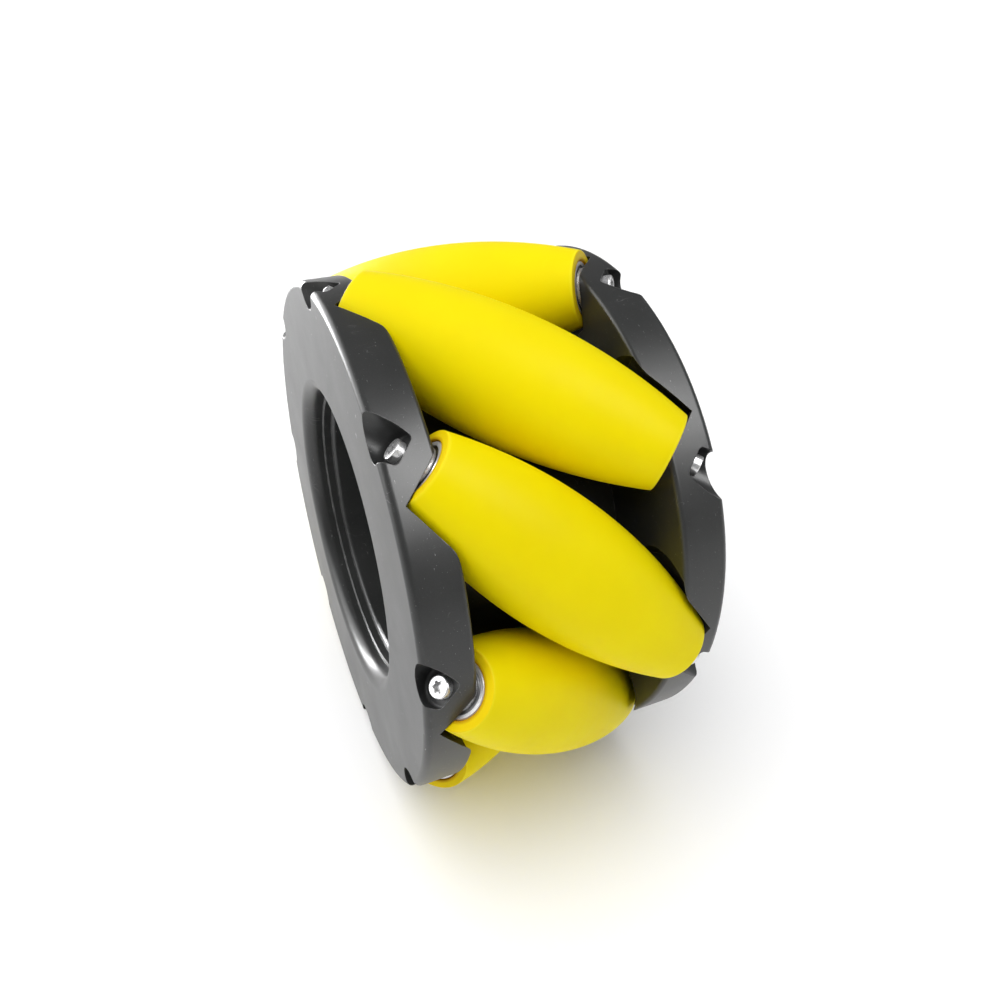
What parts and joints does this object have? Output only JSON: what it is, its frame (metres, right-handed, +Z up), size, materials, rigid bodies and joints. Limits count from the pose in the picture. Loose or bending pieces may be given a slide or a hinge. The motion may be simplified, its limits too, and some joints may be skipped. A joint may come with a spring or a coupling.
{
  "type": "mecanum wheel",
  "caption": "Omnidirectional wheel with crowned yellow rollers set at 45 degrees between two bolted dark metal hub halves, each roller turning freely on its own axle.",
  "frame": {"origin": "centre of the wheel: on its axis, midway between the two outer faces", "axes": "+Y along the wheel's axis from the near face to the far face, +Z up, +X completing a right-handed frame"},
  "size_m": [0.203, 0.1048, 0.203],
  "materials": {
    "hub_anodised": "bead-blasted, dark grey anodised, satin",
    "yellow_polyurethane": "moulded polyurethane, satin",
    "zinc_steel": "bright zinc plated",
    "ground_steel": "ground bearing steel",
    "shield_steel": "pressed steel sheet",
    "plain_aluminium": "turned"
  },
  "bodies": {
    "hub": {"near_hub_half": "hub_anodised", "far_hub_half": "hub_anodised", "flange_screws": "zinc_steel", "flange_nuts": "zinc_steel", "flange_washers": "zinc_steel", "dowel_pins": "ground_steel", "near_axle_screws": "zinc_steel", "far_axle_screws": "zinc_steel", "spacer_washers": "zinc_steel", "bearing_inner_rings": "ground_steel", "spacer_sleeves": "plain_aluminium", "axle_1": "ground_steel", "axle_2": "ground_steel", "axle_3": "ground_steel", "axle_4": "ground_steel", "axle_5": "ground_steel", "axle_6": "ground_steel", "axle_7": "ground_steel", "axle_8": "ground_steel"},
    "roller_1": {"roller_tyre_1": "yellow_polyurethane", "roller_core_1": "plain_aluminium", "bearing_outer_rings_1": "ground_steel", "bearing_shields_1": "shield_steel"},
    "roller_2": {"roller_tyre_2": "yellow_polyurethane", "roller_core_2": "plain_aluminium", "bearing_outer_rings_2": "ground_steel", "bearing_shields_2": "shield_steel"},
    "roller_3": {"roller_tyre_3": "yellow_polyurethane", "roller_core_3": "plain_aluminium", "bearing_outer_rings_3": "ground_steel", "bearing_shields_3": "shield_steel"},
    "roller_4": {"roller_tyre_4": "yellow_polyurethane", "roller_core_4": "plain_aluminium", "bearing_outer_rings_4": "ground_steel", "bearing_shields_4": "shield_steel"},
    "roller_5": {"roller_tyre_5": "yellow_polyurethane", "roller_core_5": "plain_aluminium", "bearing_outer_rings_5": "ground_steel", "bearing_shields_5": "shield_steel"},
    "roller_6": {"roller_tyre_6": "yellow_polyurethane", "roller_core_6": "plain_aluminium", "bearing_outer_rings_6": "ground_steel", "bearing_shields_6": "shield_steel"},
    "roller_7": {"roller_tyre_7": "yellow_polyurethane", "roller_core_7": "plain_aluminium", "bearing_outer_rings_7": "ground_steel", "bearing_shields_7": "shield_steel"},
    "roller_8": {"roller_tyre_8": "yellow_polyurethane", "roller_core_8": "plain_aluminium", "bearing_outer_rings_8": "ground_steel", "bearing_shields_8": "shield_steel"}
  },
  "joints": [
    {"name": "roller_1_spin", "type": "hinge", "parent": "hub", "child": "roller_1", "pos_m": [0.07373, 0, 0.03054], "axis": [0.2706, 0.7071, -0.6533], "continuous": true},
    {"name": "roller_2_spin", "type": "hinge", "parent": "hub", "child": "roller_2", "pos_m": [0.03054, 0, 0.07373], "axis": [0.6533, 0.7071, -0.2706], "continuous": true},
    {"name": "roller_3_spin", "type": "hinge", "parent": "hub", "child": "roller_3", "pos_m": [-0.03054, 0, 0.07373], "axis": [0.6533, 0.7071, 0.2706], "continuous": true},
    {"name": "roller_4_spin", "type": "hinge", "parent": "hub", "child": "roller_4", "pos_m": [-0.07373, 0, 0.03054], "axis": [0.2706, 0.7071, 0.6533], "continuous": true},
    {"name": "roller_5_spin", "type": "hinge", "parent": "hub", "child": "roller_5", "pos_m": [-0.07373, 0, -0.03054], "axis": [-0.2706, 0.7071, 0.6533], "continuous": true},
    {"name": "roller_6_spin", "type": "hinge", "parent": "hub", "child": "roller_6", "pos_m": [-0.03054, 0, -0.07373], "axis": [-0.6533, 0.7071, 0.2706], "continuous": true},
    {"name": "roller_7_spin", "type": "hinge", "parent": "hub", "child": "roller_7", "pos_m": [0.03054, 0, -0.07373], "axis": [-0.6533, 0.7071, -0.2706], "continuous": true},
    {"name": "roller_8_spin", "type": "hinge", "parent": "hub", "child": "roller_8", "pos_m": [0.07373, 0, -0.03054], "axis": [-0.2706, 0.7071, -0.6533], "continuous": true}
  ]
}
